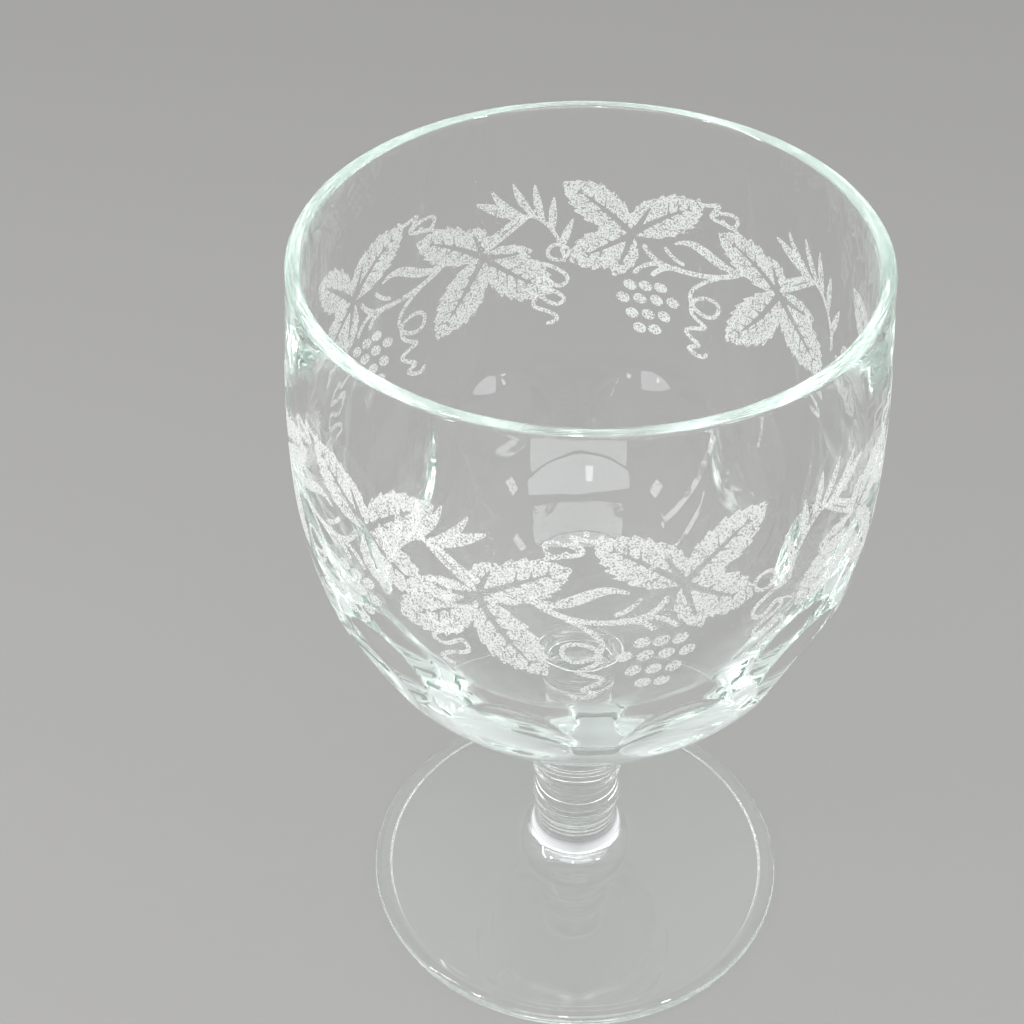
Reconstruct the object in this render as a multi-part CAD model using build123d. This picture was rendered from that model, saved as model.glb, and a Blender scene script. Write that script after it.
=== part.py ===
from build123d import *
import os

# Stemmed pressed-glass goblet. Millimetres, +Z up.
# Origin: centre of the flat ring that the foot rests on. The front, -Y, faces a ridge between two thumbprints.
# The pieces are fused hot, end face to end face, so two neighbours always share one flat seam.

# ---- driving dimensions -------------------------------------------------------------

# Stack of heights, from the table up
FOOT_HEIGHT = 20.4           # foot with its post, up to the seam with the stem ring
STEM_RING_HEIGHT = 3.6       # fused ring
STEM_HEIGHT = 23.2           # column between the ring and the bowl
BOWL_HEIGHT = 96.8           # bowl, from its seam to the lip

# Foot
FOOT_RADIUS = 39.5           # outside of the round foot
FOOT_EDGE = 3.0              # thickness of the rounded edge
FOOT_DOME_RISE = 0.7         # how far the top bulges over a straight cone
HUB_FLARE = 4.3              # the top turns up into the post this far out from the seam radius
HUB_HEIGHT = 10.4
REST_WIDTH = 2.6             # flat ring that touches the table
RECESS_STEP = 0.8            # step up just inside that ring
RECESS_CROWN = 6.6           # height of the underside's crown on the axis

# Stem: rings and hollows are measured from the seam radius
SEAM_RADIUS = 7.9            # end faces of the post, the ring, the column and the bowl
RING_PROUD = 0.4             # crest of both raised rings
COVE_DEPTH = 0.3             # hollow between the rings
COVE_HEIGHT = 3.4
UPPER_RING_HEIGHT = 3.6      # raised ring moulded on the column
COLUMN_DEPTH = 0.5           # waist of the column
POST_WAIST_DEPTH = 0.2       # neck of the foot's post
POST_WAIST_DROP = 2.6        # how far that neck is below its seam

# Bowl, outside: heights are above the bowl's seam
FLARE_OUT = 2.7              # flare between seam and underside, out from the seam radius
FLARE_HEIGHT = 3.6
HIP_RADIUS = 33.4            # underside turns into wall
HIP_HEIGHT = 17.2
PRINT_RADIUS = 43.0          # wall where the thumbprints are centred
PRINT_HEIGHT = 32.4
BELLY_RADIUS = 48.2          # widest place
BELLY_HEIGHT = 64.0
RIM_RADIUS = 46.4            # outside of the lip

# Bowl, glass thickness measured level at the heights above
LIP_WALL = 2.4
BELLY_WALL = 3.0
PRINT_WALL = 5.8
HIP_WALL = 12.0
FLOOR_GLASS = 12.4           # solid glass on the axis, seam to inside floor

# Thumbprints pressed into the lower wall
PRINT_COUNT = 10
PRINT_CURVE_RADIUS = 45.0    # hollow of each print
PRINT_DEPTH = 2.1

# ---- seam heights -------------------------------------------------------------------

RING_BOTTOM = FOOT_HEIGHT
STEM_BOTTOM = RING_BOTTOM + STEM_RING_HEIGHT
BOWL_BOTTOM = STEM_BOTTOM + STEM_HEIGHT

# ---- radii that follow the seam -----------------------------------------------------

RING_RADIUS = SEAM_RADIUS + RING_PROUD
COVE_RADIUS = SEAM_RADIUS - COVE_DEPTH
COLUMN_RADIUS = SEAM_RADIUS - COLUMN_DEPTH
POST_WAIST_RADIUS = SEAM_RADIUS - POST_WAIST_DEPTH
HUB_RADIUS = SEAM_RADIUS + HUB_FLARE
FLARE_RADIUS = SEAM_RADIUS + FLARE_OUT


def turned(edges, height=0.0):
    """Turn a closed (radius, height) outline about Z and raise it to its seam."""
    outline = Plane.XZ * make_face(Wire(edges))
    return Pos(0, 0, height) * revolve(outline, Axis.Z)


def raised_ring(bottom, height):
    """Bead on the stem's surface, from one seam-radius circle to the next."""
    crest = (RING_RADIUS, bottom + height / 2)
    return ThreePointArc((SEAM_RADIUS, bottom), crest, (SEAM_RADIUS, bottom + height))


def make_foot():
    """Round foot: flat resting ring, hollow underside, domed top and a short post."""
    edge_half = FOOT_EDGE / 2
    edge_centre = FOOT_RADIUS - edge_half
    rest_inner = edge_centre - REST_WIDTH
    waist = (POST_WAIST_RADIUS, FOOT_HEIGHT - POST_WAIST_DROP)
    dome_middle = ((edge_centre + HUB_RADIUS) / 2, (FOOT_EDGE + HUB_HEIGHT) / 2 + FOOT_DOME_RISE)

    underside = TangentArc((0, RECESS_CROWN), (rest_inner, RECESS_STEP), tangent=(1, 0))
    step = Line((rest_inner, RECESS_STEP), (rest_inner, 0))
    rest = Line((rest_inner, 0), (edge_centre, 0))
    edge = ThreePointArc((edge_centre, 0), (FOOT_RADIUS, edge_half), (edge_centre, FOOT_EDGE))
    dome = ThreePointArc((edge_centre, FOOT_EDGE), dome_middle, (HUB_RADIUS, HUB_HEIGHT))
    hub = Spline((HUB_RADIUS, HUB_HEIGHT), waist, tangents=[dome % 1, (0, 1)])
    neck = TangentArc(waist, (SEAM_RADIUS, FOOT_HEIGHT), tangent=(0, 1))
    seam = Line((SEAM_RADIUS, FOOT_HEIGHT), (0, FOOT_HEIGHT))
    axis = Line((0, FOOT_HEIGHT), (0, RECESS_CROWN))
    return turned([underside, step, rest, edge, dome, hub, neck, seam, axis])


def make_stem_ring():
    """Thick wafer of glass that joins the foot's post to the column."""
    bottom = Line((0, 0), (SEAM_RADIUS, 0))
    side = raised_ring(0, STEM_RING_HEIGHT)
    top = Line((SEAM_RADIUS, STEM_RING_HEIGHT), (0, STEM_RING_HEIGHT))
    axis = Line((0, STEM_RING_HEIGHT), (0, 0))
    return turned([bottom, side, top, axis], RING_BOTTOM)


def make_stem():
    """Solid column: a cove, a moulded ring, then a waist that swells out to the bowl."""
    ring_top = COVE_HEIGHT + UPPER_RING_HEIGHT
    column_middle = (COLUMN_RADIUS, (ring_top + STEM_HEIGHT) / 2)

    bottom = Line((0, 0), (SEAM_RADIUS, 0))
    cove = ThreePointArc((SEAM_RADIUS, 0), (COVE_RADIUS, COVE_HEIGHT / 2), (SEAM_RADIUS, COVE_HEIGHT))
    ring = raised_ring(COVE_HEIGHT, UPPER_RING_HEIGHT)
    column = ThreePointArc((SEAM_RADIUS, ring_top), column_middle, (SEAM_RADIUS, STEM_HEIGHT))
    top = Line((SEAM_RADIUS, STEM_HEIGHT), (0, STEM_HEIGHT))
    axis = Line((0, STEM_HEIGHT), (0, 0))
    return turned([bottom, cove, ring, column, top, axis], STEM_BOTTOM)


def bowl_outer_wall():
    """Outside of the bowl, from the top of the flare to the lip."""
    return Spline(
        (FLARE_RADIUS, FLARE_HEIGHT),
        (HIP_RADIUS, HIP_HEIGHT),
        (PRINT_RADIUS, PRINT_HEIGHT),
        (BELLY_RADIUS, BELLY_HEIGHT),
        (RIM_RADIUS, BOWL_HEIGHT - LIP_WALL / 2),
    )


def bowl_inner_wall():
    """Inside of the bowl, from the lip down to the middle of the floor."""
    return Spline(
        (RIM_RADIUS - LIP_WALL, BOWL_HEIGHT - LIP_WALL / 2),
        (BELLY_RADIUS - BELLY_WALL, BELLY_HEIGHT),
        (PRINT_RADIUS - PRINT_WALL, PRINT_HEIGHT),
        (HIP_RADIUS - HIP_WALL, HIP_HEIGHT),
        (0, FLOOR_GLASS),
        tangents=[(0, -1), (-1, 0)],
    )


def make_thumbprint_cutter(outer_wall):
    """Ball whose cap, PRINT_DEPTH deep, is square to the wall at a print's centre, on the +X side."""
    place = outer_wall.param_at_point(Vector(PRINT_RADIUS, PRINT_HEIGHT))
    along = outer_wall % place
    reach = PRINT_CURVE_RADIUS - PRINT_DEPTH
    ball_radius = PRINT_RADIUS + along.Y * reach
    ball_height = PRINT_HEIGHT - along.X * reach
    return Pos(ball_radius, 0, BOWL_BOTTOM + ball_height) * Sphere(PRINT_CURVE_RADIUS)


def make_bowl():
    """Round-bottomed bowl with a thick floor, a fire-polished lip and a belt of thumbprints."""
    lip_height = BOWL_HEIGHT - LIP_WALL / 2
    outer_wall = bowl_outer_wall()

    seam = Line((0, 0), (SEAM_RADIUS, 0))
    flare = Spline((SEAM_RADIUS, 0), (FLARE_RADIUS, FLARE_HEIGHT), tangents=[(0, 1), outer_wall % 0])
    lip = ThreePointArc(
        (RIM_RADIUS, lip_height),
        (RIM_RADIUS - LIP_WALL / 2, BOWL_HEIGHT),
        (RIM_RADIUS - LIP_WALL, lip_height),
    )
    axis = Line((0, FLOOR_GLASS), (0, 0))
    bowl = turned([seam, flare, outer_wall, lip, bowl_inner_wall(), axis], BOWL_BOTTOM)

    cutter = make_thumbprint_cutter(outer_wall)
    for index in range(PRINT_COUNT):
        bowl -= cutter.rotate(Axis.Z, index * 360 / PRINT_COUNT)
    return bowl


PIECES = {
    "foot": make_foot,
    "stem_ring": make_stem_ring,
    "stem": make_stem,
    "bowl": make_bowl,
}

os.makedirs("parts", exist_ok=True)
for name, make in PIECES.items():
    piece = make()
    piece.label = name
    export_step(piece, f"parts/{name}.step")
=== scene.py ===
"""Pressed-glass wine goblet with an etched grapevine round its bowl.

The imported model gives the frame: the heights of the seams and the largest radii. The four glass
pieces are turned from their outlines as smooth closed meshes, and the etching is thin frosted
pieces that lie on the bowl. Outlines and drawings are in millimetres, Blender objects in metres.
"""

import logging
import math
from dataclasses import dataclass, field
from enum import Enum
from typing import Any, Callable, Optional, Sequence, Union

import bpy
import numpy as np
from mathutils import Matrix, Vector


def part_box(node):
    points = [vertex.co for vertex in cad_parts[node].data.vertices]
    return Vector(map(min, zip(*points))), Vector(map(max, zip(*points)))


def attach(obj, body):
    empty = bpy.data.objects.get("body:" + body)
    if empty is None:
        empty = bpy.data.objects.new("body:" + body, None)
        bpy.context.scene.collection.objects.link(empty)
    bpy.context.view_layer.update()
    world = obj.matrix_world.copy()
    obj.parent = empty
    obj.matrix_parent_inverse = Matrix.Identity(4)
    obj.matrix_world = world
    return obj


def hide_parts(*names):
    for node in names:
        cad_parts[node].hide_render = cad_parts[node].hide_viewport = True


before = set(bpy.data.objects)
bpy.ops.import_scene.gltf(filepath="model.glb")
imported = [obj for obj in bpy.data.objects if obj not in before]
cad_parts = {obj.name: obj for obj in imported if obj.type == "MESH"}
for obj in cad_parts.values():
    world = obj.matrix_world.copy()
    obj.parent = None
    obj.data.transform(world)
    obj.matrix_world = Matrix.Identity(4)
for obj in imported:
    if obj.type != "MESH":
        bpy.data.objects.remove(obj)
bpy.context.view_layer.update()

MM = 0.001
BODY = "root"
SHARP_ANGLE = 40
FAR_AWAY = 9.0
SEAM_STEPS = 6

log = logging.getLogger("goblet")

Pair = tuple[float, float]


# ---- nodes --------------------------------------------------------------------------


class Wire:
    """One output of a node, with Python's operators for the maths on it."""

    def __init__(self, graph: "Graph", socket: bpy.types.NodeSocket) -> None:
        """Keep the socket and the graph that it belongs to."""
        self.graph = graph
        self.socket = socket

    def math(self, operation: str, *others: Any) -> "Wire":
        """Add one Math node, with others on its second and third socket."""
        values = dict(enumerate((self, *others)))
        return self.graph.node("ShaderNodeMath", {"operation": operation}, values)

    def __add__(self, other: Any) -> "Wire":
        """Sum."""
        return self.math("ADD", other)

    def __sub__(self, other: Any) -> "Wire":
        """Difference."""
        return self.math("SUBTRACT", other)

    def __mul__(self, other: Any) -> "Wire":
        """Product."""
        return self.math("MULTIPLY", other)

    def __truediv__(self, other: Any) -> "Wire":
        """Quotient."""
        return self.math("DIVIDE", other)

    def __rtruediv__(self, other: float) -> "Wire":
        """A number over this wire."""
        return self.graph.node("ShaderNodeMath", {"operation": "DIVIDE"}, {0: other, 1: self})


class Graph:
    """A node tree that nodes are added to, one call each."""

    def __init__(self, tree: bpy.types.NodeTree) -> None:
        """Keep the tree and empty it."""
        self.tree = tree
        tree.nodes.clear()

    def node(
        self,
        kind: str,
        settings: Optional[dict[str, Any]] = None,
        inputs: Optional[dict[Union[int, str], Any]] = None,
        output: Union[int, str] = 0,
    ) -> Optional[Wire]:
        """Add a node.

        Args:
            kind: the node's type.
            settings: its properties, set before its sockets are used.
            inputs: value or wire of each socket, by the socket's name or number.
            output: name or number of the output that is returned.

        Returns:
            That output, or None for a node that ends the tree.
        """
        made = self.tree.nodes.new(kind)
        for name, value in (settings or {}).items():
            setattr(made, name, value)
        for name, value in (inputs or {}).items():
            socket = self.find(made.inputs, name)
            if isinstance(value, Wire):
                self.tree.links.new(value.socket, socket)
            else:
                socket.default_value = value
        return Wire(self, self.find(made.outputs, output)) if made.outputs else None

    @staticmethod
    def find(sockets: Any, name: Union[int, str]) -> bpy.types.NodeSocket:
        """Find the socket in use with a name or number."""
        if isinstance(name, int):
            return sockets[name]
        return next(socket for socket in sockets if socket.name == name and socket.enabled)

    def other(self, wire: Wire, output: Union[int, str]) -> Wire:
        """Another output of the same node."""
        return Wire(self, self.find(wire.socket.node.outputs, output))

    def vector(self, operation: str, *values: Any, output: Union[int, str] = 0) -> Wire:
        """Add one Vector Math node, with the values on its sockets in order."""
        inputs = dict(enumerate(values))
        return self.node("ShaderNodeVectorMath", {"operation": operation}, inputs, output)

    def scaled(self, vector: Wire, factor: Any) -> Wire:
        """A vector times a number."""
        settings = {"operation": "SCALE"}
        return self.node("ShaderNodeVectorMath", settings, {0: vector, "Scale": factor})

    def split(self, vector: Wire) -> list[Wire]:
        """The X, Y and Z of a vector."""
        x = self.node("ShaderNodeSeparateXYZ", None, {0: vector})
        return [x, self.other(x, "Y"), self.other(x, "Z")]

    def joined(self, x: Any = 0.0, y: Any = 0.0, z: Any = 0.0) -> Wire:
        """A vector from three numbers."""
        return self.node("ShaderNodeCombineXYZ", None, {"X": x, "Y": y, "Z": z})

    def stored(self, name: str) -> Wire:
        """A number that is stored on the mesh, in a geometry tree."""
        settings = {"data_type": "FLOAT"}
        return self.node("GeometryNodeInputNamedAttribute", settings, {"Name": name})

    def noise(self, place: Wire, size: float, detail: float, roughness: float = 0.5) -> Wire:
        """Add a noise with grains of a size in millimetres."""
        inputs = {"Vector": place, "Scale": 1 / (size * MM), "Detail": detail, "Roughness": roughness}
        return self.node("ShaderNodeTexNoise", None, inputs)

    def ramp(self, value: Wire, limits: dict[str, float]) -> Wire:
        """Map a value between limits, held at both ends."""
        return self.node("ShaderNodeMapRange", {"clamp": True}, {"Value": value, **limits})

    def mixed(self, share: Any, first: Wire, second: Wire) -> Wire:
        """Two shaders, the second by its share."""
        return self.node("ShaderNodeMixShader", None, {0: share, 1: first, 2: second})


class Interface(Enum):
    """Kinds of input that a geometry tree takes."""

    GEOMETRY = "NodeSocketGeometry"
    NUMBER = "NodeSocketFloat"
    COUNT = "NodeSocketInt"
    OBJECT = "NodeSocketObject"
    MATERIAL = "NodeSocketMaterial"

    @classmethod
    def of(cls, value: Any) -> "Interface":
        """The kind that takes a value."""
        kinds = {
            float: cls.NUMBER,
            int: cls.COUNT,
            bpy.types.Object: cls.OBJECT,
            bpy.types.Material: cls.MATERIAL,
        }
        return kinds[type(value)]


class GeometryRule(Graph):
    """A Geometry Nodes tree with named inputs that can be run on an object."""

    def __init__(self, name: str, values: dict[str, Any]) -> None:
        """Make the tree.

        Args:
            name: the tree's name.
            values: the name and value of each input after the geometry.
        """
        super().__init__(bpy.data.node_groups.new(name, "GeometryNodeTree"))
        self.values = values
        face = self.tree.interface
        face.new_socket("Geometry", in_out="INPUT", socket_type=Interface.GEOMETRY.value)
        for label, value in values.items():
            face.new_socket(label, in_out="INPUT", socket_type=Interface.of(value).value)
        face.new_socket("Geometry", in_out="OUTPUT", socket_type=Interface.GEOMETRY.value)
        self.entry = self.tree.nodes.new("NodeGroupInput")

    def given(self, name: str) -> Wire:
        """The wire of a named input."""
        return Wire(self, self.entry.outputs[name])

    def close(self, geometry: Wire) -> None:
        """End the tree in Realize Instances and Set Material."""
        real = self.node("GeometryNodeRealizeInstances", None, {"Geometry": geometry})
        inputs = {"Geometry": real, "Material": self.given("Material")}
        done = self.node("GeometryNodeSetMaterial", None, inputs)
        self.node("NodeGroupOutput", None, {"Geometry": done})

    def run(self, piece: bpy.types.Object) -> None:
        """Run the tree on a piece and keep the result as its plain mesh."""
        modifier = piece.modifiers.new(self.tree.name, "NODES")
        modifier.node_group = self.tree
        for item in self.tree.interface.items_tree:
            if item.in_out == "INPUT" and item.name in self.values:
                modifier[item.identifier] = self.values[item.name]
        settle(piece)


def add_object(name: str, data: Any) -> bpy.types.Object:
    """Add an object to the scene."""
    made = bpy.data.objects.new(name, data)
    bpy.context.scene.collection.objects.link(made)
    return made


def settle(piece: bpy.types.Object) -> None:
    """Replace a piece's mesh by its evaluated one and drop its modifiers."""
    graph = bpy.context.evaluated_depsgraph_get()
    graph.update()
    mesh = bpy.data.meshes.new_from_object(piece.evaluated_get(graph))
    mesh.name = piece.name
    piece.modifiers.clear()
    piece.data = mesh


# ---- finishes -----------------------------------------------------------------------


Colour = tuple[float, float, float, float]
WHITE: Colour = (1.0, 1.0, 1.0, 1.0)


@dataclass(frozen=True)
class Finish:
    """One material."""

    name: str

    def material(self) -> bpy.types.Material:
        """Make the material."""
        made = bpy.data.materials.new(self.name)
        made.use_nodes = True
        g = Graph(made.node_tree)
        g.node("ShaderNodeOutputMaterial", None, self.look(g))
        return made

    def look(self, g: Graph) -> dict[str, Wire]:
        """What the material's output shows, by the name of its socket."""
        raise NotImplementedError


@dataclass(frozen=True)
class ClearGlass(Finish):
    """Clear pressed soda glass, faintly green where it is thick."""

    name: str = "clear_glass"
    index: float = 1.52
    tint: Colour = (0.68, 0.81, 0.73, 1.0)
    tint_density: float = 4.2
    shade: Colour = (0.97, 0.98, 0.975, 1.0)
    ripple_size: float = 9.0
    ripple_height: float = 0.05
    ripple_strength: float = 0.5
    haze_size: float = 14.0
    haze_from: float = 0.6
    haze: float = 0.06

    def look(self, g: Graph) -> dict[str, Wire]:
        """Glass with the ripple of pressed ware and a trace of wiping haze.

        Args:
            g: the material's tree.

        Returns:
            The surface, through which soft light and shadows pass unbent, as all light does at
            faces with the attribute seam, and the absorption inside.
        """
        place = g.node("ShaderNodeTexCoord", output="Object")
        bump = {
            "Height": g.noise(place, self.ripple_size, detail=1.5),
            "Distance": self.ripple_height * MM,
            "Strength": self.ripple_strength,
        }
        wiping = g.noise(place, self.haze_size, detail=1.0)
        glass = {
            "Base Color": WHITE,
            "Roughness": (wiping - self.haze_from).math("MAXIMUM", 0.0) * self.haze,
            "IOR": self.index,
            "Transmission Weight": 1.0,
            "Normal": g.node("ShaderNodeBump", None, bump),
        }
        body = g.node("ShaderNodeBsdfPrincipled", None, glass)
        seam = g.node("ShaderNodeAttribute", {"attribute_name": "seam"}, output="Fac")
        fused = g.mixed(seam, body, g.node("ShaderNodeBsdfTransparent"))
        shadow = g.node("ShaderNodeLightPath", output="Is Shadow Ray")
        soft = g.other(shadow, "Is Diffuse Ray")
        lit = g.node("ShaderNodeBsdfTransparent", None, {"Color": self.shade})
        absorption = {"Color": self.tint, "Density": self.tint_density}
        return {
            "Surface": g.mixed(shadow, g.mixed(soft, fused, lit), lit),
            "Volume": g.node("ShaderNodeVolumeAbsorption", None, absorption),
        }


@dataclass(frozen=True)
class EtchedGlass(Finish):
    """White stippled frosting with clear glass between its grains."""

    name: str = "etched_glass"
    grain: float = 0.30
    patch: float = 7.0
    patch_share: float = 0.25
    level: float = 0.444
    edge: float = 0.05
    white: Colour = (0.82, 0.82, 0.81, 1.0)
    through: float = 0.45

    def look(self, g: Graph) -> dict[str, Wire]:
        """Matt white that light also shines through, broken into grains by two noises.

        Args:
            g: the material's tree.

        Returns:
            The surface.
        """
        place = g.node("ShaderNodeTexCoord", output="Object")
        grains = g.noise(place, self.grain, detail=1.0, roughness=0.6)
        patches = g.noise(place, self.patch * self.grain, detail=2.0)
        limits = {"From Min": self.level - self.edge, "From Max": self.level + self.edge}
        stipple = g.ramp(grains + (patches - 0.5) * self.patch_share, limits)
        matt = {"Base Color": self.white, "Roughness": 0.75, "Specular IOR Level": 0.3}
        frost = g.mixed(
            self.through,
            g.node("ShaderNodeBsdfPrincipled", None, matt),
            g.node("ShaderNodeBsdfTranslucent", None, {"Color": self.white}),
        )
        return {"Surface": g.mixed(stipple, g.node("ShaderNodeBsdfTransparent"), frost)}


@dataclass(frozen=True)
class StudioFloor(Finish):
    """Plain pale studio board."""

    name: str = "studio_floor"
    colour: Colour = (0.295, 0.288, 0.277, 1.0)

    def look(self, g: Graph) -> dict[str, Wire]:
        """The matt surface of the floor."""
        matt = {"Base Color": self.colour, "Roughness": 0.7, "Specular IOR Level": 0.2}
        return {"Surface": g.node("ShaderNodeBsdfPrincipled", None, matt)}


# ---- outlines of turned pieces ------------------------------------------------------


def smooth_curve(
    points: Sequence[Pair], first: Optional[Pair] = None, last: Optional[Pair] = None
) -> Callable[[np.ndarray], tuple[np.ndarray, np.ndarray]]:
    """Cubic curve through points with even bending, spaced by the chords between them.

    Args:
        points: the places that it passes.
        first: direction at its start, if that is fixed.
        last: direction at its end, if that is fixed.

    Returns:
        A function that takes shares of the chord length, from 0 to 1, and gives the places
        there and the directions.
    """
    p = np.array(points, float)
    knots = np.concatenate([[0], np.cumsum(np.linalg.norm(np.diff(p, axis=0), axis=1))])
    knots /= knots[-1]
    count = len(p)

    def free_slope(end: slice, at: float) -> np.ndarray:
        """Slope at an end of the polynomial through the nearest points."""
        near, where = p[end], knots[end]
        fits = [np.polyfit(where, near[:, k], len(where) - 1) for k in (0, 1)]
        return np.array([np.polyval(np.polyder(fit), at) for fit in fits])

    slopes = [free_slope(slice(0, 4), 0.0), free_slope(slice(-4, None), 1.0)]
    for k, fixed in enumerate((first, last)):
        if fixed is not None:
            size = np.abs(slopes[k]).sum() / np.abs(fixed).sum()
            slopes[k] = np.array(fixed, float) * size

    system, right = np.eye(count), np.zeros((count, 2))
    right[0], right[-1] = slopes
    for i in range(1, count - 1):
        before, after = knots[i] - knots[i - 1], knots[i + 1] - knots[i]
        system[i, i - 1 : i + 2] = after, 2 * (before + after), before
        steps = after * (p[i] - p[i - 1]) / before + before * (p[i + 1] - p[i]) / after
        right[i] = 3 * steps
    tangent = np.linalg.solve(system, right)

    def curve(share: np.ndarray) -> tuple[np.ndarray, np.ndarray]:
        """Places and directions at shares of the chord length."""
        i = np.clip(np.searchsorted(knots, share, side="right") - 1, 0, count - 2)
        span = (knots[i + 1] - knots[i])[:, None]
        t = (share - knots[i])[:, None] / span
        rise, fall = p[i + 1] - p[i], span * (tangent[i] + tangent[i + 1])
        b = 3 * rise - span * (2 * tangent[i] + tangent[i + 1])
        c = fall - 2 * rise
        place = p[i] + t * (span * tangent[i] + t * (b + t * c))
        return place, tangent[i] + t * (2 * b + 3 * t * c) / span

    return curve


@dataclass
class Outline:
    """Half section of a turned piece: (radius, height) from the axis and back to it."""

    points: list[Pair]
    seams: list[bool] = field(default_factory=list)

    def follow(self, places: Sequence[Pair], seam: bool = False) -> None:
        """Add places after the last one.

        Args:
            places: the next (radius, height) points.
            seam: True where the face is fused to the next piece.
        """
        self.points += [(float(r), float(h)) for r, h in places]
        self.seams += [seam] * len(places)

    def heading(self) -> Pair:
        """Direction of the last stretch."""
        (radius, height), (next_radius, next_height) = self.points[-2:]
        return next_radius - radius, next_height - height

    def line(self, radius: float, height: float, steps: int = SEAM_STEPS, seam: bool = False) -> None:
        """Straight stretch to a point."""
        begin, end = np.array(self.points[-1]), np.array((radius, height))
        shares = np.linspace(0, 1, steps + 1)[1:, None]
        self.follow(begin + (end - begin) * shares, seam)

    def arc(self, middle: Pair, end: Pair, steps: int) -> None:
        """Circular stretch through a middle point.

        Args:
            middle: a point on the arc.
            end: its last point.
            steps: how many pieces it is cut into.
        """
        a, m, b = (complex(*point) for point in (self.points[-1], middle, end))
        w = (b - a) / (m - a)
        centre = (b - a) * (w - abs(w) ** 2) / (2j * w.imag) / w + a
        turn = np.angle((m - centre) / (a - centre)) + np.angle((b - centre) / (m - centre))
        shares = np.linspace(0, 1, steps + 1)[1:]
        places = centre + (a - centre) * np.exp(1j * turn * shares)
        self.follow([(place.real, place.imag) for place in places])

    def swell(self, height: float, amount: float, steps: int) -> None:
        """Upright stretch that swells out, or in, and comes back to its radius.

        Args:
            height: the height that it ends at.
            amount: how far out its middle stands; below 0 it is a hollow.
            steps: how many pieces it is cut into.
        """
        radius, begin = self.points[-1]
        shares = np.linspace(0, 1, steps + 1)[1:]
        out = radius + amount * np.sin(math.pi * shares) ** 2
        self.follow(list(zip(out, begin + (height - begin) * shares)))

    def tangent_arc(self, direction: Pair, end: Pair, steps: int) -> None:
        """Circular stretch that leaves the last point in a given direction.

        Args:
            direction: the way that it leaves.
            end: its last point.
            steps: how many pieces it is cut into.
        """
        begin, way = complex(*self.points[-1]), complex(*direction)
        chord = complex(*end) - begin
        turn = 2 * np.angle(chord / way)
        shares = np.linspace(0, 1, steps + 1)[1:]
        grown = np.sin(turn * shares / 2) / np.sin(turn / 2)
        places = begin + chord * grown * np.exp(1j * turn * (shares - 1) / 2)
        self.follow([(place.real, place.imag) for place in places])

    def curve(
        self,
        points: Sequence[Pair],
        steps: int,
        first: Optional[Pair] = None,
        last: Optional[Pair] = None,
    ) -> None:
        """Smooth stretch from the last point through others.

        Args:
            points: the places that it passes, after the last point.
            steps: how many pieces it is cut into.
            first: direction at its start, if fixed.
            last: direction at its end, if fixed.
        """
        course = smooth_curve([self.points[-1], *points], first, last)
        self.follow(course(np.linspace(0, 1, steps + 1)[1:])[0])

    def turned(self, name: str, segments: int, outside: Optional[slice] = None) -> bpy.types.Object:
        """Turn the outline about the axis into a closed mesh.

        Args:
            name: the piece's name.
            segments: how many steps the turn has.
            outside: the outline's points that carry the attribute outside.

        Returns:
            The object, with smooth faces and its fused faces marked.
        """
        ring = np.array(self.points[1:-1])
        angles = 2 * math.pi * np.arange(segments) / segments
        radius, height = ring[:, 0], ring[:, 1]
        body = np.stack(
            [
                np.outer(radius, np.cos(angles)),
                np.outer(radius, np.sin(angles)),
                np.repeat(height[:, None], segments, axis=1),
            ],
            axis=-1,
        ).reshape(-1, 3)
        poles = [(0, 0, self.points[0][1]), (0, 0, self.points[-1][1])]
        vertices = np.vstack([body, poles]) * MM
        rows = len(ring)
        low, high = rows * segments, rows * segments + 1
        here = np.arange(segments)
        there = (here + 1) % segments
        faces = [(low, int(b), int(a)) for a, b in zip(here, there)]
        seam = [self.seams[0]] * segments
        for k in range(rows - 1):
            a, b = k * segments, (k + 1) * segments
            faces += [(a + i, a + j, b + j, b + i) for i, j in zip(here.tolist(), there.tolist())]
            seam += [self.seams[k + 1]] * segments
        last = (rows - 1) * segments
        faces += [(last + int(a), last + int(b), high) for a, b in zip(here, there)]
        seam += [self.seams[-1]] * segments

        piece = mesh_piece(name, vertices, faces)
        mark(piece, "seam", "FACE", seam)
        if outside is not None:
            flag = np.zeros(len(self.points))
            flag[outside] = 1
            mark(piece, "outside", "POINT", [*np.repeat(flag[1:-1], segments), 0, 0])
        return piece


def mesh_piece(name: str, vertices: Any, faces: Any) -> bpy.types.Object:
    """Make a smooth mesh object at the origin.

    Args:
        name: the piece's name.
        vertices: its points, in metres.
        faces: its faces, as lists of point numbers, seen from outside anticlockwise.

    Returns:
        The object, linked to the scene.
    """
    mesh = bpy.data.meshes.new(name)
    mesh.from_pydata(np.asarray(vertices).tolist(), [], faces)
    mesh.shade_smooth()
    mesh.set_sharp_from_angle(angle=math.radians(SHARP_ANGLE))
    return add_object(name, mesh)


def mark(piece: bpy.types.Object, name: str, domain: str, values: Sequence[float]) -> None:
    """Store a number for each point or face of a piece."""
    stored = piece.data.attributes.new(name, "FLOAT", domain)
    stored.data.foreach_set("value", np.asarray(values, np.float32))


# ---- glass pieces -------------------------------------------------------------------


@dataclass(frozen=True)
class Stack:
    """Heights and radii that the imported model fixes, in millimetres."""

    foot_top: float
    ring_top: float
    stem_top: float
    rim_top: float
    foot_radius: float
    ring_radius: float
    belly_radius: float

    @classmethod
    def from_frame(cls) -> "Stack":
        """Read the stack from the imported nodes' boxes."""
        foot, ring, stem, bowl = (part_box(node)[1] / MM for node in ("foot", "stem_ring", "stem", "bowl"))
        return cls(foot.z, ring.z, stem.z, bowl.z, foot.x, ring.x, bowl.x)


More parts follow.
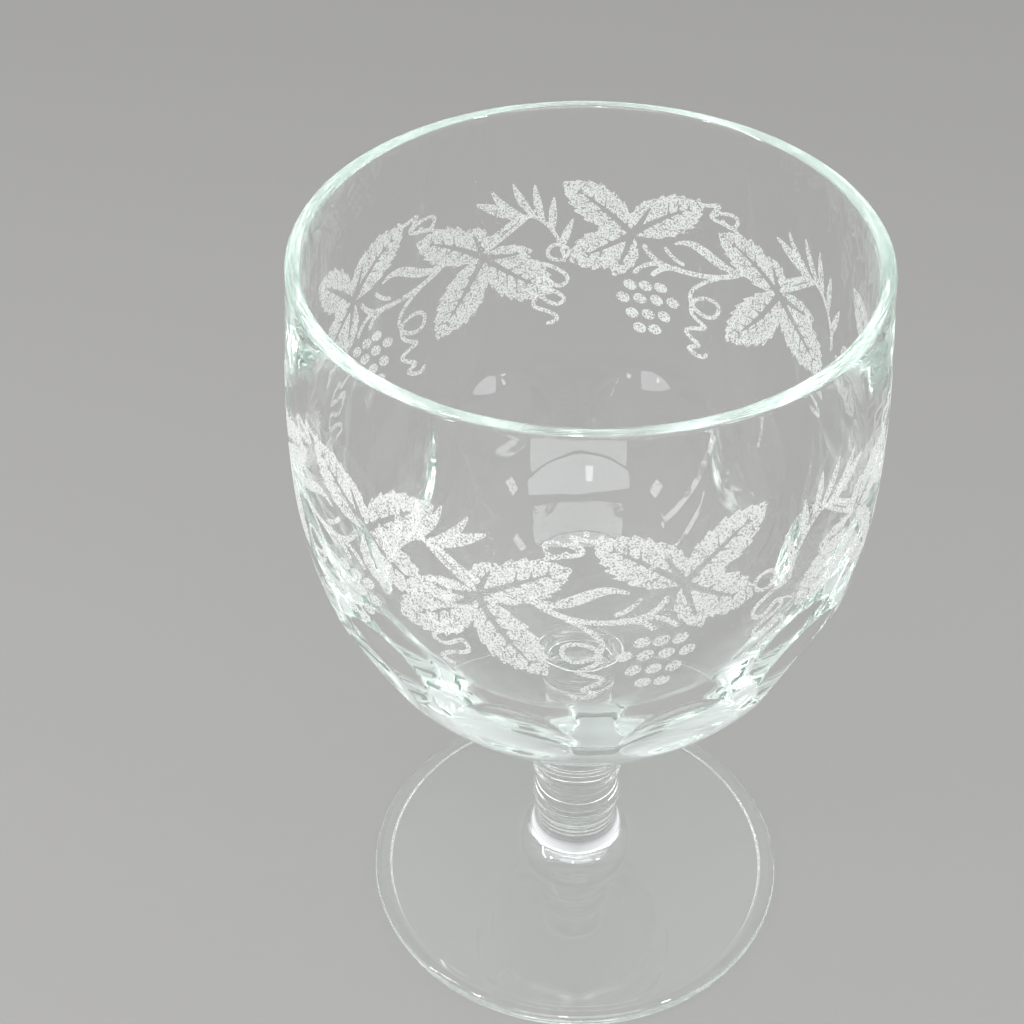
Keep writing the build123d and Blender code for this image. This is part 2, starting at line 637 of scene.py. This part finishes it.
@dataclass
class Piece:
    """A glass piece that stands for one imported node."""

    stack: Stack
    node: str = ""
    segments: int = 240
    ring_proud: float = 0.4
    seam_gap: float = 0.01

    @property
    def seam_radius(self) -> float:
        """Radius of the fused faces between the pieces."""
        return self.stack.ring_radius - self.ring_proud

    def outline(self) -> Outline:
        """The piece's half section."""
        raise NotImplementedError

    def build(self, finish: bpy.types.Material) -> bpy.types.Object:
        """Turn the piece and give it its finish."""
        piece = self.outline().turned(f"{self.node}_glass", self.segments)
        piece.data.materials.append(finish)
        return piece

    def dress(self, piece: bpy.types.Object) -> None:
        """Give the piece its place in the frame."""
        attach(piece, BODY)
        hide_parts(self.node)
        log.info("%s: %d faces", piece.name, len(piece.data.polygons))


@dataclass
class Foot(Piece):
    """Round foot with a flat resting ring, a hollow underside and a short post."""

    node: str = "foot"
    segments: int = 300
    edge: float = 3.0
    dome_rise: float = 0.7
    hub_flare: float = 4.3
    hub_height: float = 10.4
    rest_width: float = 2.6
    recess_step: float = 0.8
    step_run: float = 1.2
    recess_crown: float = 6.6
    post_waist_depth: float = 0.2
    post_waist_drop: float = 2.6

    def outline(self) -> Outline:
        """The foot's half section, from the crown of the underside round to the post's top."""
        top = self.stack.foot_top
        edge_centre = self.stack.foot_radius - self.edge / 2
        rest_inner = edge_centre - self.rest_width
        hub = (self.seam_radius + self.hub_flare, self.hub_height)
        waist = (self.seam_radius - self.post_waist_depth, top - self.post_waist_drop)
        rise = (self.edge + self.hub_height) / 2 + self.dome_rise
        middle = ((edge_centre + hub[0]) / 2, rise)
        made = Outline([(0, self.recess_crown)])
        made.tangent_arc((1, 0), (rest_inner, self.recess_step), steps=40)
        made.curve([(rest_inner + self.step_run, 0)], steps=10, first=made.heading(), last=(1, 0))
        made.line(edge_centre, 0, steps=2)
        made.arc((self.stack.foot_radius, self.edge / 2), (edge_centre, self.edge), steps=20)
        made.arc(middle, hub, steps=44)
        made.curve([waist], steps=16, first=made.heading(), last=(0, 1))
        made.tangent_arc((0, 1), (self.seam_radius, top), steps=5)
        made.line(0, top - self.seam_gap, seam=True)
        return made


@dataclass
class StemRing(Piece):
    """Thick wafer of glass that joins the foot's post to the column."""

    node: str = "stem_ring"

    def outline(self) -> Outline:
        """The wafer's half section."""
        low, high, seam = self.stack.foot_top, self.stack.ring_top, self.seam_radius
        made = Outline([(0, low + self.seam_gap)])
        made.line(seam, low, seam=True)
        made.swell(high, self.ring_proud, steps=24)
        made.line(0, high - self.seam_gap, seam=True)
        return made


@dataclass
class Stem(Piece):
    """Solid column: a cove, a moulded ring, then a waist that swells out to the bowl."""

    node: str = "stem"
    cove_depth: float = 0.3
    cove_height: float = 3.4
    ring_height: float = 3.6
    column_depth: float = 0.5

    def outline(self) -> Outline:
        """The column's half section."""
        low, high, seam = self.stack.ring_top, self.stack.stem_top, self.seam_radius
        cove_top = low + self.cove_height
        ring_top = cove_top + self.ring_height
        made = Outline([(0, low + self.seam_gap)])
        made.line(seam, low, seam=True)
        made.swell(cove_top, -self.cove_depth, steps=22)
        made.swell(ring_top, self.ring_proud, steps=24)
        made.swell(high, -self.column_depth, steps=36)
        made.line(0, high - self.seam_gap, seam=True)
        return made


@dataclass
class Bowl(Piece):
    """Round-bottomed bowl with a thick floor, a rounded lip and a belt of thumbprints."""

    node: str = "bowl"
    segments: int = 440
    etch_room: float = 0.06
    flare_out: float = 2.7
    flare_height: float = 3.6
    hip_radius: float = 33.4
    hip_height: float = 17.2
    print_radius: float = 43.0
    print_height: float = 32.4
    belly_height: float = 64.0
    rim_radius: float = 46.4
    lip_wall: float = 2.4
    belly_wall: float = 3.0
    print_wall: float = 5.8
    hip_wall: float = 12.0
    floor_glass: float = 12.4
    print_count: int = 10
    print_curve: float = 45.0
    print_depth: float = 2.1
    print_softness: float = 0.45
    flare_steps: int = 8
    wall_steps: tuple[tuple[float, float, int], ...] = ((0, 0.24, 12), (0.24, 0.62, 63), (0.62, 1, 23))
    clear_of_lip: int = 20

    def outer_points(self) -> list[Pair]:
        """Places of the outside wall, from the top of the flare to the lip."""
        bottom = self.stack.stem_top
        lip = self.stack.rim_top - self.lip_wall / 2
        places = [
            (self.seam_radius + self.flare_out, bottom + self.flare_height),
            (self.hip_radius, bottom + self.hip_height),
            (self.print_radius, bottom + self.print_height),
            (self.stack.belly_radius, bottom + self.belly_height),
            (self.rim_radius, lip),
        ]
        return [(radius - self.etch_room, height) for radius, height in places]

    def outline(self) -> Outline:
        """The bowl's half section, from its seam over the lip to the middle of its floor."""
        bottom = self.stack.stem_top
        lip = self.stack.rim_top - self.lip_wall / 2
        outer = self.outer_points()
        wall = smooth_curve(outer)
        leave = wall(np.zeros(1))[1][0]
        inner = [
            (self.stack.belly_radius - self.belly_wall, bottom + self.belly_height),
            (self.print_radius - self.print_wall, bottom + self.print_height),
            (self.hip_radius - self.hip_wall, bottom + self.hip_height),
            (0, bottom + self.floor_glass),
        ]
        lip_inner = self.rim_radius - self.lip_wall

        made = Outline([(0, bottom + self.seam_gap)])
        made.line(self.seam_radius, bottom, seam=True)
        made.curve([outer[0]], self.flare_steps, first=(0, 1), last=tuple(leave))
        for begin, end, steps in self.wall_steps:
            made.follow(wall(np.linspace(begin, end, steps + 1)[1:])[0])
        crown = ((outer[-1][0] + lip_inner) / 2, self.stack.rim_top)
        made.arc(crown, (lip_inner, lip), steps=16)
        made.curve(inner, steps=66, first=(0, -1), last=(-1, 0))
        return made

    def ball_centre(self) -> Pair:
        """Centre, as radius and height, of the ball that presses a thumbprint."""
        outer = self.outer_points()
        wall = smooth_curve(outer)
        steps = np.linalg.norm(np.diff(np.array(outer), axis=0), axis=1)
        place, way = wall(np.array([steps[:2].sum() / steps.sum()]))
        way = way[0] / np.linalg.norm(way[0])
        reach = self.print_curve - self.print_depth
        return float(place[0][0] + way[1] * reach), float(place[0][1] - way[0] * reach)

    def press_rule(self, finish: bpy.types.Material) -> GeometryRule:
        """Geometry rule that presses the thumbprints.

        Args:
            finish: the bowl's material.

        Returns:
            A tree that pushes the outside wall out of a ball at each of Count places round the
            axis, with a softened edge.
        """
        out, height = self.ball_centre()
        values = {
            "Count": self.print_count,
            "Ball Radius": self.print_curve * MM,
            "Centre Radius": out * MM,
            "Centre Height": height * MM,
            "Softness": self.print_softness * MM,
            "Material": finish,
        }
        rule = GeometryRule("press_thumbprints", values)
        here = rule.node("GeometryNodeInputPosition")
        x, y, _ = rule.split(here)
        pitch = 2 * math.pi / rule.given("Count")
        nearest = (y.math("ARCTAN2", x) / pitch).math("ROUND") * pitch
        out = rule.given("Centre Radius")
        height = rule.given("Centre Height")
        centre = rule.joined(nearest.math("COSINE") * out, nearest.math("SINE") * out, height)
        away = rule.vector("SUBTRACT", here, centre)
        reach = rule.vector("LENGTH", away, output="Value")
        inside = rule.given("Ball Radius") - reach
        push = inside.math("SMOOTH_MAX", 0.0, rule.given("Softness"))
        shift = rule.scaled(rule.vector("NORMALIZE", away), push * rule.stored("outside"))
        moved = {"Geometry": rule.given("Geometry"), "Offset": shift}
        rule.close(rule.node("GeometryNodeSetPosition", None, moved))
        return rule

    def build(self, finish: bpy.types.Material) -> bpy.types.Object:
        """Turn the bowl and press its thumbprints.

        Args:
            finish: its material.

        Returns:
            The bowl as one plain closed mesh.
        """
        outline = self.outline()
        heights = [height for _, height in outline.points]
        lip = int(np.argmax(heights))
        pressed = slice(SEAM_STEPS + self.flare_steps, lip - self.clear_of_lip)
        piece = outline.turned(f"{self.node}_glass", self.segments, pressed)
        self.press_rule(finish).run(piece)
        return piece


# ---- etched garland -----------------------------------------------------------------


class Stroke(Enum):
    """How the width of a drawn line runs from its start to its end."""

    EVEN = "even"
    LANCE = "lance"

    def width(self, share: np.ndarray) -> np.ndarray:
        """Width at shares of the line's length, as a part of the full width.

        Args:
            share: places along the line, from 0 to 1.

        Returns:
            The part of the full width there.
        """
        if self is Stroke.LANCE:
            ends, fullness = 0.25, 1.3
            return ends + (1 - ends) * np.sin(math.pi * np.clip(share, 0, 1)) ** fullness
        return np.ones_like(share)


@dataclass(frozen=True)
class Line:
    """A drawn line through points, in millimetres along and up the wall."""

    points: tuple[Pair, ...]
    width: float = 0.95
    stroke: Stroke = Stroke.EVEN
    steps: int = 10

    def depth(self, at: np.ndarray) -> np.ndarray:
        """How far inside the line each place is.

        Args:
            at: places, as (along, up).

        Returns:
            Millimetres inside the line's edge, below 0 outside.
        """
        shares = np.linspace(0, 1, self.steps * len(self.points))
        course = smooth_curve(self.points)(shares)[0]
        half = self.stroke.width(shares) * self.width / 2
        best = np.full(len(at), -FAR_AWAY)
        for a, b, wide in zip(course, course[1:], half):
            step = b - a
            t = np.clip((at - a) @ step / (step @ step), 0, 1)
            gap = np.linalg.norm(at - a - t[:, None] * step, axis=1)
            best = np.maximum(best, wide - gap)
        return best


@dataclass(frozen=True)
class Grape:
    """A tilted oval."""

    centre: Pair
    length: float = 2.7
    width: float = 2.0
    tilt: float = 25.0

    def depth(self, at: np.ndarray) -> np.ndarray:
        """How far inside the oval each place is.

        Args:
            at: places, as (along, up).

        Returns:
            Millimetres inside its edge, below 0 outside.
        """
        turn = math.radians(self.tilt)
        way = np.array([math.cos(turn), math.sin(turn)])
        side = np.array([-way[1], way[0]])
        off = at - np.array(self.centre)
        scaled = np.hypot(off @ way / (self.length / 2), off @ side / (self.width / 2))
        return (1 - scaled) * self.width / 2


@dataclass(frozen=True)
class Lobe:
    """One lobe of a vine leaf, with clear side veins and a toothed edge."""

    base: Pair
    tip: Pair
    width: float
    bend: float = 0.0
    teeth: int = 6
    vein: float = 0.22
    slant: float = 0.75
    widest: float = 0.34
    notch: float = 0.92
    tooth: float = 0.22
    heel: float = 0.35
    vein_reach: float = 0.8
    least_vein: float = 0.1
    blunt: float = 0.03

    def measure(self, at: np.ndarray) -> tuple[np.ndarray, np.ndarray, float]:
        """Place points along and beside the midrib.

        Args:
            at: places, as (along, up).

        Returns:
            The share of the way to the tip, the millimetres off the midrib, and its length.
        """
        base, tip = np.array(self.base), np.array(self.tip)
        length = float(np.linalg.norm(tip - base))
        way = (tip - base) / length
        side = np.array([-way[1], way[0]])
        t = (at - base) @ way / length
        inside = np.clip(t, 0, 1)
        return t, (at - base) @ side - 4 * self.bend * inside * (1 - inside), length

    def depth(self, at: np.ndarray) -> np.ndarray:
        """How far inside the stippled part each place is.

        Args:
            at: places, as (along, up).

        Returns:
            Millimetres inside its edge, below 0 outside and in the veins.
        """
        t, off, length = self.measure(at)
        inside = np.clip(t, 0, 1)
        far = np.abs(off)

        back = np.clip(t - self.slant * far / length, 0, 1)
        swell = (back / self.widest) ** 0.5 * (1 - back) / (1 - self.widest)
        phase = back * self.teeth % 1
        edge = self.width * swell * (self.notch + self.tooth * phase) + self.heel * (1 - inside)
        margin = edge - far
        gap = np.abs(phase - 0.5) * length / self.teeth * self.vein_reach
        vein_end = np.maximum(self.vein_reach * edge, self.least_vein)
        open_share = np.clip(1 - far / vein_end, 0, 1)
        side_vein = gap - self.vein * open_share ** 0.5
        ends = np.minimum(t + self.blunt, 1 - t) * length
        return np.minimum.reduce([margin, side_vein, ends])


@dataclass(frozen=True)
class Leaf:
    """A vine leaf: lobes round one base, parted by clear midribs that cut through them all."""

    lobes: tuple[Lobe, ...]
    rib_width: float = 1.3
    rib_reach: float = 0.82
    rib_taper: float = 0.6

    def depth(self, at: np.ndarray) -> np.ndarray:
        """How far inside the stippled part each place is.

        Args:
            at: places, as (along, up).

        Returns:
            Millimetres inside its edge, below 0 outside and in the veins.
        """
        filled = np.max([lobe.depth(at) for lobe in self.lobes], axis=0)
        for lobe in self.lobes:
            t, off, length = lobe.measure(at)
            over = np.maximum(-t, 0) * length
            wide = self.rib_width / 2 * np.clip(1 - t / self.rib_reach, 0, 1) ** self.rib_taper
            rib = np.where(t < self.rib_reach, np.hypot(off, over) - wide, FAR_AWAY)
            filled = np.minimum(filled, rib)
        return filled


Mark = Union[Line, Grape, Leaf]


@dataclass
class Garland:
    """Grapevine etched round the bowl: one drawing, laid on the wall several times.

    Pitch and slips are in degrees. A slip is how far a print was laid past its even place.
    """

    surface: bpy.types.Object
    girth_radius: float = 48.0
    repeats: int = 5
    pitch: float = 69.0
    slips: tuple[float, ...] = (0.0, -9.4, 0.0, 0.0, 8.0)
    first_angle: float = -76.2
    proud: float = 0.022
    thickness: float = 0.02
    cell: float = 0.36
    sliver: float = 0.04
    cast_from: float = 1.3
    sheet_low: Pair = (-48.0, 90.0)
    sheet_high: Pair = (34.0, 131.0)

    leaf_left: Pair = (-30.1, 113.8)
    leaf_right: Pair = (0.0, 117.2)

    def leaves(self) -> list[Mark]:
        """The two vine leaves, lobe by lobe."""
        left, right = self.leaf_left, self.leaf_right
        first = (
            Lobe(left, (-43.5, 104.2), 4.3, 0.6, 7),
            Lobe(left, (-39.6, 113.6), 2.0, 0.5, 4),
            Lobe(left, (-19.6, 99.4), 4.0, -0.8, 7),
            Lobe(left, (-16.2, 121.2), 3.6, 0.5, 6),
            Lobe(left, (-27.2, 120.6), 2.2, 0.3, 4),
        )
        second = (
            Lobe(right, (-13.4, 126.0), 3.8, -0.5, 7),
            Lobe(right, (-4.0, 125.4), 2.1, 0.2, 4),
            Lobe(right, (13.0, 127.8), 3.6, 0.5, 6),
            Lobe(right, (11.4, 110.8), 3.7, -0.4, 5),
            Lobe(right, (3.2, 107.8), 2.3, -0.2, 4),
        )
        return [Leaf(first), Leaf(second)]

    def grapes(self) -> list[Mark]:
        """The bunch, in slanting rows that narrow downwards."""
        rows = [
            ((-5.8, 106.6), 3, 2.9, 25.0),
            ((-8.4, 103.9), 4, 3.2, 25.0),
            ((-6.9, 100.7), 3, 3.1, 25.0),
            ((-5.3, 97.7), 2, 3.0, 20.0),
        ]
        droop, wobble = 0.1, 7
        return [
            Grape((x + k * step, z - droop * k), tilt=tilt + wobble * ((k + n) % 3 - 1))
            for n, ((x, z), count, step, tilt) in enumerate(rows)
            for k in range(count)
        ]

    def vines(self) -> list[Mark]:
        """The woody stems and the smooth lance leaves on them."""
        return [
            Line(((-21.6, 114.4), (-16.5, 111.8), (-9.4, 111.1), (-5.8, 111.8), (-2.4, 115.0)), 1.0),
            Line(((-9.0, 111.3), (-6.4, 110.9), (-4.2, 109.2)), 1.0),
            Line(((-6.6, 111.6), (-3.2, 111.2), (-0.8, 109.2)), 0.9),
            Line(((-9.8, 112.6), (-8.0, 113.5), (-6.4, 115.2)), 0.8),
            Line(((-22.0, 115.4), (-17.3, 114.7), (-12.6, 116.9), (-8.2, 116.6)), 2.0, Stroke.LANCE),
            Line(((-30.6, 114.9), (-34.2, 117.4), (-39.8, 122.0)), 0.8),
            Line(((-30.0, 116.6), (-33.0, 118.4), (-37.4, 121.6)), 0.8),
            Line(((-37.6, 120.4), (-33.8, 122.6), (-29.0, 125.2)), 2.1, Stroke.LANCE),
        ]

    def tendrils(self) -> list[Mark]:
        """The curling tendrils."""
        return [
            Line(((-20.4, 122.0), (-17.6, 123.4), (-14.8, 124.3), (-15.6, 125.6), (-16.4, 126.9),
                  (-14.6, 126.4), (-12.2, 127.0)), 0.75),
            Line(((-15.2, 124.2), (-17.6, 125.6), (-20.2, 125.2), (-19.8, 123.7), (-17.2, 124.0)), 0.75),
            Line(((-16.9, 111.6), (-13.6, 109.4), (-11.6, 106.4), (-13.2, 103.6), (-16.8, 103.4),
                  (-17.4, 105.8), (-14.4, 106.6), (-12.0, 104.6), (-13.0, 102.0), (-15.2, 100.6),
                  (-13.4, 99.9), (-11.4, 99.0), (-13.2, 97.4), (-14.4, 96.6), (-12.4, 95.6),
                  (-14.0, 94.6), (-16.2, 95.2)), 0.8),
            Line(((11.6, 112.6), (12.2, 114.0), (14.8, 114.2), (15.4, 112.4), (13.4, 111.2),
                  (11.8, 112.2)), 0.75),
            Line(((17.4, 110.6), (14.2, 109.6), (11.8, 106.6), (13.4, 105.6), (16.6, 107.6),
                  (17.2, 106.4), (14.0, 104.4), (12.4, 102.4), (14.2, 101.8), (17.4, 103.6),
                  (18.2, 102.2), (15.6, 100.4), (13.6, 98.8), (15.4, 97.8)), 0.8),
        ]

    def ferns(self) -> list[Mark]:
        """The arching twig behind the left leaf, with long narrow leaflets."""
        twig = ((-30.8, 115.5), (-35.0, 119.3), (-39.0, 121.0), (-42.6, 118.4), (-45.4, 111.0))
        leaflets = [
            ((-38.4, 121.0), (-34.8, 123.2), (-31.6, 127.6)),
            ((-40.2, 120.6), (-37.9, 123.6), (-35.8, 128.2)),
            ((-41.8, 119.2), (-40.6, 122.8), (-39.8, 127.6)),
            ((-43.4, 116.8), (-43.2, 120.2), (-43.4, 124.6)),
            ((-44.8, 113.0), (-45.6, 116.2), (-46.9, 119.8)),
        ]
        return [Line(twig, 0.7), *(Line(points, 1.5, Stroke.LANCE) for points in leaflets)]

    def flat_shell(self, name: str, marks: list[Mark]) -> bpy.types.Object:
        """Cut the drawn marks out as one flat closed shell.

        Args:
            name: the piece's name.
            marks: what is drawn, joined where it overlaps.

        Returns:
            The shell, flat in X and Z, with the attribute lift 1 on its outer side.
        """
        low, high = np.array(self.sheet_low), np.array(self.sheet_high)
        across, up = (int(math.ceil(size / self.cell)) + 1 for size in high - low)
        column, row = np.meshgrid(np.arange(across), np.arange(up), indexing="ij")
        nodes = low + self.cell * np.stack([column, row], -1).reshape(-1, 2)
        depth = np.max([mark.depth(nodes) for mark in marks], axis=0).reshape(across, up)

        number: dict[tuple, int] = {}
        flat: list[Pair] = []

        def point(a: tuple[int, int], b: Optional[tuple[int, int]] = None) -> int:
            """Number of the point at node a, or where the edge crosses between a and b."""
            key = (a,) if b is None else (min(a, b), max(a, b))
            if key not in number:
                place = np.array(key[0], float)
                if b is not None:
                    first, second = depth[key[0]], depth[key[1]]
                    share = min(max(first / (first - second), self.sliver), 1 - self.sliver)
                    place += share * (np.array(key[1]) - place)
                number[key] = len(flat)
                flat.append(tuple(low + self.cell * place))
            return number[key]

        faces: list[list[int]] = []
        held = depth > 0
        busy = held[:-1, :-1] | held[1:, :-1] | held[1:, 1:] | held[:-1, 1:]
        for i, j in np.argwhere(busy).tolist():
            corners = [(i, j), (i + 1, j), (i + 1, j + 1), (i, j + 1)]
            face = []
            for a, b in zip(corners, corners[1:] + corners[:1]):
                if held[a]:
                    face.append(point(a))
                if held[a] != held[b]:
                    face.append(point(a, b))
            faces.append(face)

        count = len(flat)
        edges = {(a, b) for face in faces for a, b in zip(face, face[1:] + face[:1])}
        rim = [(a, b, b + count, a + count) for a, b in edges if (b, a) not in edges]
        shell = [[k + count for k in face] for face in faces]
        shell += [face[::-1] for face in faces] + [list(side) for side in rim]
        places = [(x * MM, 0.0, z * MM) for x, z in flat] * 2
        piece = mesh_piece(name, places, shell)
        mark(piece, "lift", "POINT", [0.0] * count + [1.0] * count)
        return piece

    def wrap_rule(self, finish: bpy.types.Material) -> GeometryRule:
        """Geometry rule that repeats a flat drawing and lays it on the bowl.

        Args:
            finish: the drawing's material.

        Returns:
            A tree that bends the drawing round the axis, makes Repeats turned copies and casts
            every point inwards onto the surface.
        """
        slips = {f"Slip {k}": -math.radians(slip) for k, slip in enumerate(self.slips)}
        values = {
            "Surface": self.surface,
            "Repeats": self.repeats,
            "Pitch": -math.radians(self.pitch),
            **slips,
            "First Angle": math.radians(self.first_angle),
            "Girth Radius": self.girth_radius * MM,
            "Proud": self.proud * MM,
            "Thickness": self.thickness * MM,
            "Material": finish,
        }
        rule = GeometryRule("lay_on_bowl", values)
        girth = rule.given("Girth Radius")
        x, _, z = rule.split(rule.node("GeometryNodeInputPosition"))
        turn = x / girth
        start = girth * self.cast_from
        bent = rule.joined(turn.math("COSINE") * start, turn.math("SINE") * start, z)
        sheet = {"Geometry": rule.given("Geometry"), "Position": bent}
        curved = rule.node("GeometryNodeSetPosition", None, sheet)
        places = rule.node("GeometryNodePoints", None, {"Count": rule.given("Repeats")})
        index = rule.node("GeometryNodeInputIndex")
        spin = rule.given("First Angle") + index * rule.given("Pitch")
        for k, slip in enumerate(slips):
            spin += index.math("COMPARE", float(k), 0.5) * rule.given(slip)
        prints = {"Points": places, "Instance": curved, "Rotation": rule.joined(z=spin)}
        copies = rule.node("GeometryNodeInstanceOnPoints", None, prints)
        real = rule.node("GeometryNodeRealizeInstances", None, {"Geometry": copies})
        here = rule.node("GeometryNodeInputPosition")
        level = rule.vector("MULTIPLY", here, (-1.0, -1.0, 0.0))
        surface = {"Object": rule.given("Surface")}
        cast = {
            "Target Geometry": rule.node("GeometryNodeObjectInfo", None, surface, "Geometry"),
            "Source Position": here,
            "Ray Direction": rule.vector("NORMALIZE", level),
            "Ray Length": start,
        }
        hit = rule.node("GeometryNodeRaycast", {"data_type": "FLOAT"}, cast, "Hit Position")
        rise = rule.given("Proud") + rule.stored("lift") * rule.given("Thickness")
        place = rule.vector("ADD", hit, rule.scaled(rule.other(hit, "Hit Normal"), rise))
        laid = rule.node("GeometryNodeSetPosition", None, {"Geometry": real, "Position": place})
        rule.close(laid)
        return rule

    def build(self, finish: bpy.types.Material) -> list[bpy.types.Object]:
        """Cut and lay every part of the garland.

        Args:
            finish: the etched material.

        Returns:
            The laid pieces.
        """
        drawings = {
            "etched_leaves": self.leaves(),
            "etched_grapes": self.grapes(),
            "etched_vines": self.vines(),
            "etched_tendrils": self.tendrils(),
            "etched_ferns": self.ferns(),
        }
        rule = self.wrap_rule(finish)
        made = [self.flat_shell(name, marks) for name, marks in drawings.items()]
        for piece in made:
            rule.run(piece)
        return made

    def dress(self, pieces: list[bpy.types.Object]) -> None:
        """Give every etched piece its place in the frame."""
        for piece in pieces:
            piece.visible_shadow = False
            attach(piece, BODY)
            log.info("%s: %d faces", piece.name, len(piece.data.polygons))


# ---- studio -------------------------------------------------------------------------


@dataclass(frozen=True)
class Softbox:
    """A rectangular studio light that faces the goblet."""

    name: str
    place: tuple[float, float, float]
    width: float
    height: float
    power: float
    aim: tuple[float, float, float] = (0.0, 0.0, 0.08)
    colour: tuple[float, float, float] = (1.0, 1.0, 1.0)

    def build(self) -> None:
        """Hang the light and turn it to its aim."""
        data = bpy.data.lights.new(self.name, "AREA")
        data.shape = "RECTANGLE"
        data.size, data.size_y = self.width, self.height
        data.energy = self.power
        data.color = self.colour
        lamp = add_object(self.name, data)
        lamp.location = self.place
        way = Vector(self.aim) - Vector(self.place)
        lamp.rotation_euler = way.to_track_quat("-Z", "Y").to_euler()


@dataclass(frozen=True)
class Studio:
    """Floor, lights and camera."""

    floor_size: float = 8.0
    floor_drop: float = 0.00005
    surround: Colour = (0.97, 0.985, 1.0, 1.0)
    level_strength: float = 0.48
    overhead_strength: float = 1.15
    middle_share: float = 0.72
    side_share: float = 1.4

    bounces: int = 96
    clear_bounces: int = 64
    clamp: float = 6.0

    camera_distance: float = 253.7
    camera_height: float = 306.7
    camera_bearing: float = -94.0
    camera_pitch: float = 40.37
    camera_yaw: float = -1.28
    camera_roll: float = -0.33
    camera_lens: float = 69.12

    def softboxes(self) -> list[Softbox]:
        """The lights: a wide and three small windows behind the camera, and a strip on the left."""
        return [
            Softbox("high_window", (0.0, -0.84, 0.96), 1.10, 0.42, 5.6, colour=(0.92, 0.96, 1.0)),
            Softbox("front_window", (-0.10, -0.75, 0.95), 0.07, 0.10, 1.6),
            Softbox("right_window", (0.55, -0.50, 0.78), 0.07, 0.12, 1.6),
            Softbox("left_window", (-0.62, -0.42, 0.78), 0.07, 0.12, 1.6),
            Softbox("left_strip", (-0.66, -0.20, 0.48), 0.035, 0.60, 1.6),
        ]

    def build_floor(self) -> None:
        """Lay the floor."""
        half = self.floor_size / 2
        corners = [(-half, -half), (half, -half), (half, half), (-half, half)]
        floor = mesh_piece("floor", [(x, y, -self.floor_drop) for x, y in corners], [(0, 1, 2, 3)])
        floor.data.materials.append(StudioFloor().material())

    def build_surround(self) -> None:
        """Fill the room with a soft light that grows from the horizon up and to both sides."""
        world = bpy.data.worlds.new("studio")
        world.use_nodes = True
        g = Graph(world.node_tree)
        way = g.node("ShaderNodeTexCoord", output="Generated")
        across, _, height = g.split(way)
        limits = {"To Min": self.level_strength, "To Max": self.overhead_strength}
        sides = across.math("ABSOLUTE") * (self.side_share - self.middle_share) + self.middle_share
        strength = g.ramp(height, limits) * sides
        room = g.node("ShaderNodeBackground", None, {"Color": self.surround, "Strength": strength})
        g.node("ShaderNodeOutputWorld", None, {"Surface": room})
        bpy.context.scene.world = world

    def build_camera(self) -> None:
        """Set the camera on its stand, looking down at the goblet."""
        bearing, pitch, yaw, roll = (
            math.radians(angle)
            for angle in (self.camera_bearing, self.camera_pitch, self.camera_yaw, self.camera_roll)
        )
        level = Vector((-math.sin(yaw), math.cos(yaw), 0))
        right = Vector((math.cos(yaw), math.sin(yaw), 0))
        ahead = level * math.cos(pitch) - Vector((0, 0, math.sin(pitch)))
        up = level * math.sin(pitch) + Vector((0, 0, math.cos(pitch)))
        across = right * math.cos(roll) + up * math.sin(roll)
        above = up * math.cos(roll) - right * math.sin(roll)
        data = bpy.data.cameras.new("camera")
        data.lens = self.camera_lens
        data.clip_start = 0.01
        camera = add_object("camera", data)
        turn = Matrix((across, above, -ahead)).transposed().to_4x4()
        stand = Vector((
            self.camera_distance * math.cos(bearing),
            self.camera_distance * math.sin(bearing),
            self.camera_height,
        ))
        camera.matrix_world = Matrix.Translation(stand * MM) @ turn
        bpy.context.scene.camera = camera

    def build_film(self) -> None:
        """Let light pass through all the glass, and choose how tones are shown."""
        scene = bpy.context.scene
        scene.cycles.max_bounces = self.bounces
        scene.cycles.transmission_bounces = self.bounces
        scene.cycles.glossy_bounces = self.bounces
        scene.cycles.transparent_max_bounces = self.clear_bounces
        scene.cycles.caustics_refractive = False
        scene.cycles.caustics_reflective = False
        scene.cycles.use_denoising = True
        scene.cycles.sample_clamp_indirect = self.clamp
        scene.view_settings.view_transform = "Standard"

    def build(self) -> None:
        """Set up the whole studio."""
        self.build_floor()
        self.build_surround()
        for softbox in self.softboxes():
            softbox.build()
        self.build_camera()
        self.build_film()


# ---- the goblet ---------------------------------------------------------------------


def main() -> None:
    """Build the goblet piece by piece, then the studio round it."""
    logging.basicConfig(level=logging.INFO, format="%(name)s: %(message)s")
    Studio().build()
    stack = Stack.from_frame()
    glass, frost = ClearGlass().material(), EtchedGlass().material()
    for maker in (Foot(stack), StemRing(stack), Stem(stack)):
        maker.dress(maker.build(glass))
    bowl = Bowl(stack)
    bowl_piece = bowl.build(glass)
    garland = Garland(bowl_piece)
    etched = garland.build(frost)
    bowl.dress(bowl_piece)
    garland.dress(etched)


if __name__ == "__main__":
    main()
